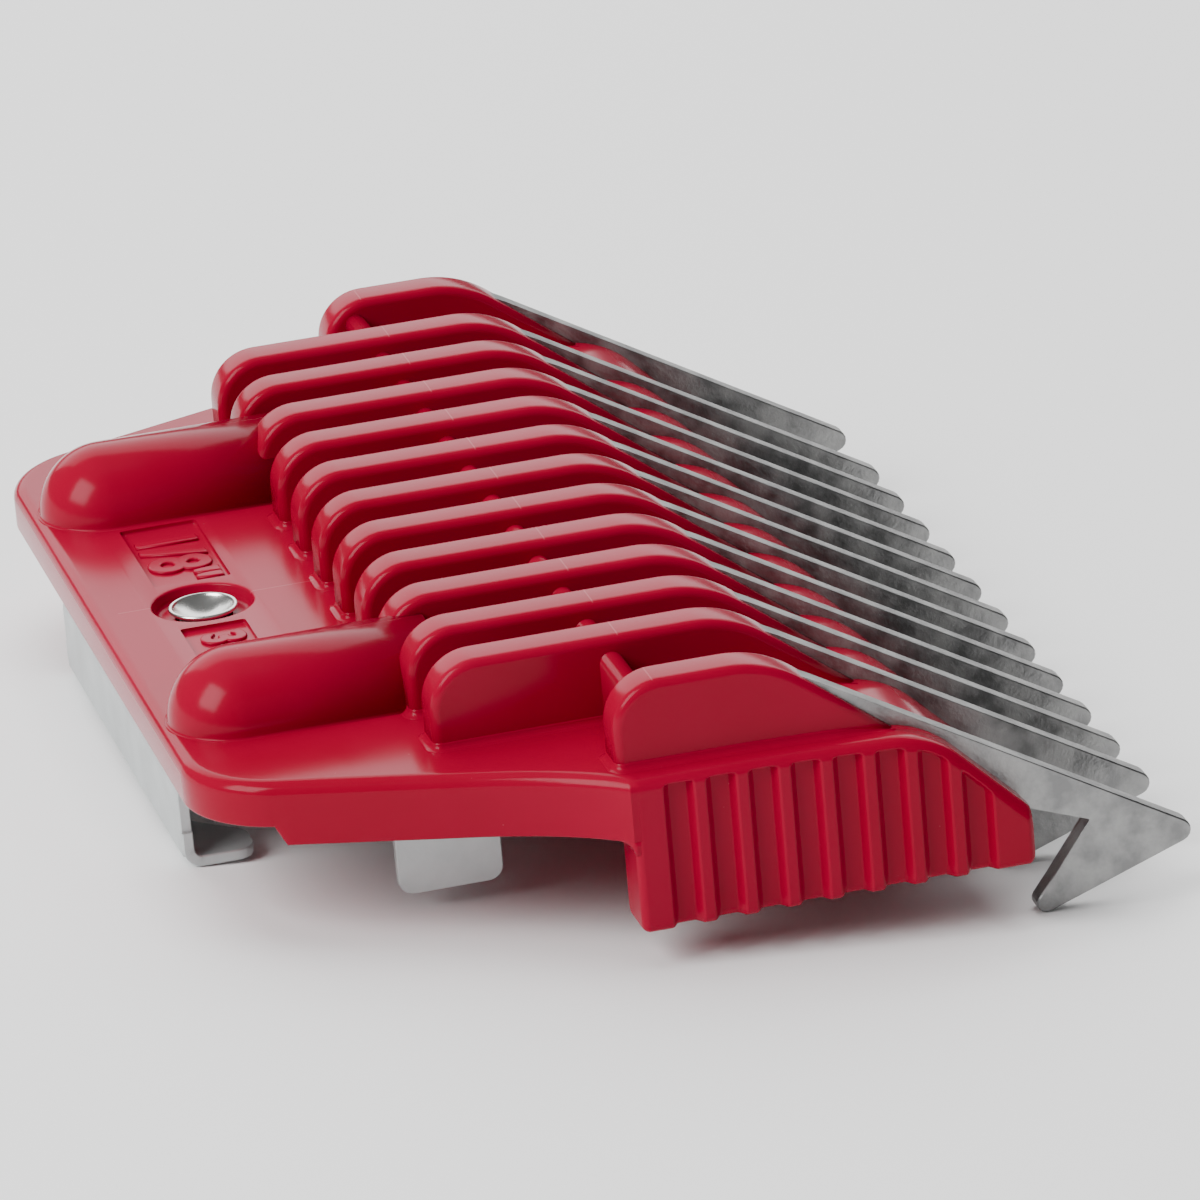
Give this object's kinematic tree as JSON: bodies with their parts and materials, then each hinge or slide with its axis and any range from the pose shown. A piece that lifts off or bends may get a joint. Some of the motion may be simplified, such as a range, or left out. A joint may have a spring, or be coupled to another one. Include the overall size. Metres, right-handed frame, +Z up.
{
  "type": "clipper guard comb",
  "caption": "Clip-on clipper guard comb: red plastic body with steel tines moulded into ribs, hooked barbs, side flanges and a sprung sheet steel clip that slides on a rivet.",
  "frame": {"origin": "middle of the bounding box in plan, at the height of the lowest point of the barbs", "axes": "+X across the comb's width, -Y towards the tips, +Z up with the deck horizontal"},
  "size_m": [0.0556, 0.0403, 0.0134],
  "materials": {
    "red_plastic": "glossy red moulding",
    "tine_steel": "tumbled stamped stainless steel",
    "clip_steel": "satin sheet steel",
    "rivet_steel": "bright nickel plate",
    "washer_steel": "zinc plate",
    "spring_wire": "bright spring wire"
  },
  "bodies": {
    "comb": {"comb_body": "red_plastic", "tine_01": "tine_steel", "tine_02": "tine_steel", "tine_03": "tine_steel", "tine_04": "tine_steel", "tine_05": "tine_steel", "tine_06": "tine_steel", "tine_07": "tine_steel", "tine_08": "tine_steel", "tine_09": "tine_steel", "tine_10": "tine_steel", "tine_11": "tine_steel", "tine_12": "tine_steel", "tine_13": "tine_steel", "eyelet_rivet": "rivet_steel", "washer": "washer_steel", "return_spring": "spring_wire"},
    "clip": {"slide_plate": "clip_steel"}
  },
  "joints": [
    {"name": "clip_slide", "type": "slide", "parent": "comb", "child": "clip", "axis": [0, 1, 0], "range_m": [0, 0.003], "stiffness_N_per_m": 500, "springref_m": -0.003, "deforming": ["return_spring"]}
  ]
}
